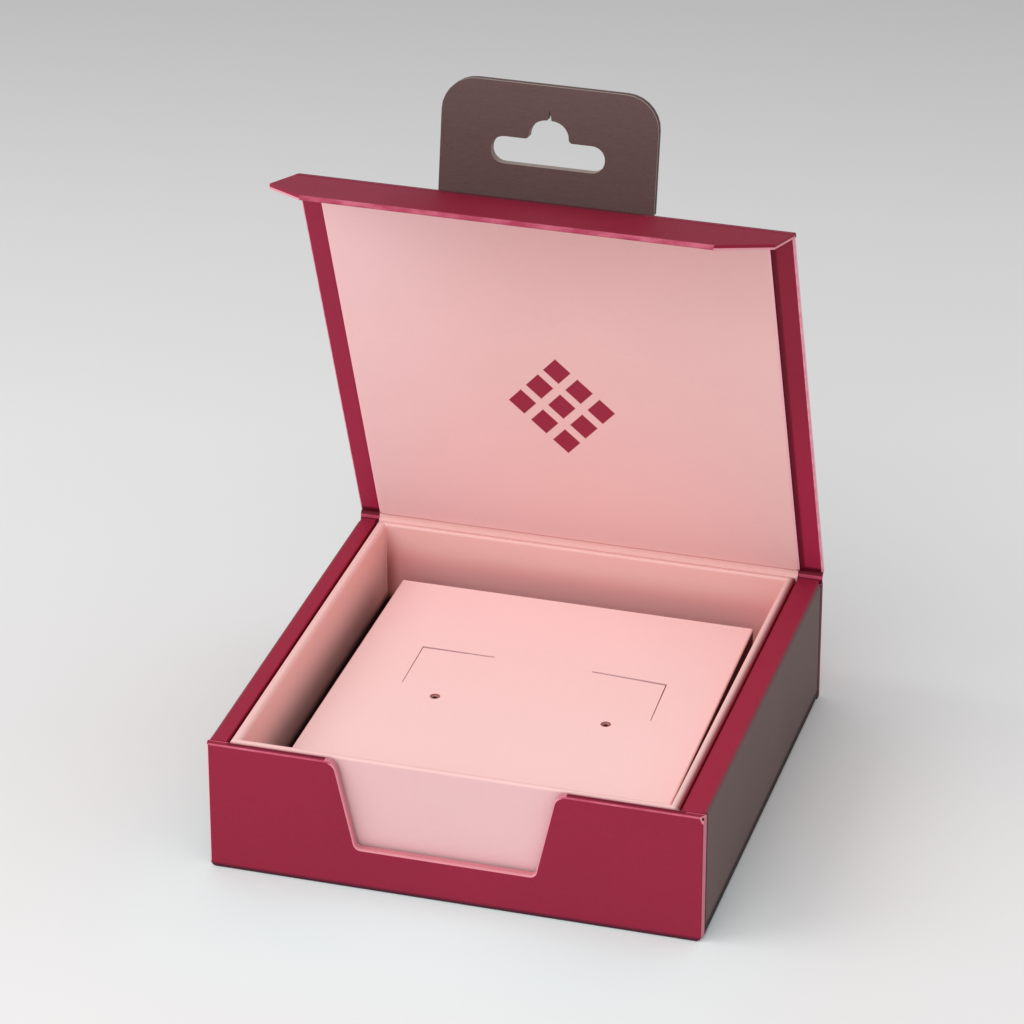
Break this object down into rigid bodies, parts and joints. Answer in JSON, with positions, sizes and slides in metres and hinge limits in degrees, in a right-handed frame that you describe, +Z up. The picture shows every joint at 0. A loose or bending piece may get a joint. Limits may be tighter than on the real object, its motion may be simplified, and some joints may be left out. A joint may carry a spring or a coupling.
{
  "type": "earring box",
  "caption": "Folded paperboard earring box with a creased lid, chamfered front flap, hang tab, notched front wall, and a tray holding a raised card with post holes.",
  "frame": {"origin": "middle of the base's underside, on the surface the box stands on", "axes": "+X to the right, +Y from the notched front to the hinge at the back, +Z up"},
  "size_m": [0.089, 0.0893, 0.1281],
  "materials": {
    "burgundy_board": "matte",
    "brown_board": "matte",
    "pink_rolled_board": "matte",
    "pink_paper": "matte",
    "pale_pink_card": "matte"
  },
  "bodies": {
    "base": {"base_floor": "burgundy_board", "front_panel": "burgundy_board", "back_panel": "burgundy_board", "side_panel_left": "brown_board", "side_panel_right": "brown_board", "ledge_frame_left": "burgundy_board", "ledge_frame_right": "burgundy_board", "inner_tray": "pink_rolled_board", "earring_card": "pale_pink_card", "hinge_crease": "burgundy_board", "hinge_liner": "pink_paper"},
    "lid": {"lid_board": "burgundy_board", "lid_liner": "pink_paper", "lid_cover_sheet": "brown_board"},
    "flap": {"front_flap": "burgundy_board"},
    "tab": {"tab_front_ply": "brown_board", "tab_back_ply": "brown_board"}
  },
  "joints": [
    {"name": "lid_hinge", "type": "hinge", "parent": "base", "child": "lid", "pos_m": [0, 0.044, 0.0256], "axis": [-1, 0, 0], "range_deg": [-68.2, 111.8]},
    {"name": "flap_crease", "type": "hinge", "parent": "lid", "child": "flap", "pos_m": [0, 0.01121, 0.10759], "axis": [-1, 0, 0], "range_deg": [-38.5, 51.5]},
    {"name": "tab_crease", "type": "hinge", "parent": "lid", "child": "tab", "pos_m": [0, 0.01411, 0.10799], "axis": [-1, 0, 0], "range_deg": [-31, 149]}
  ]
}
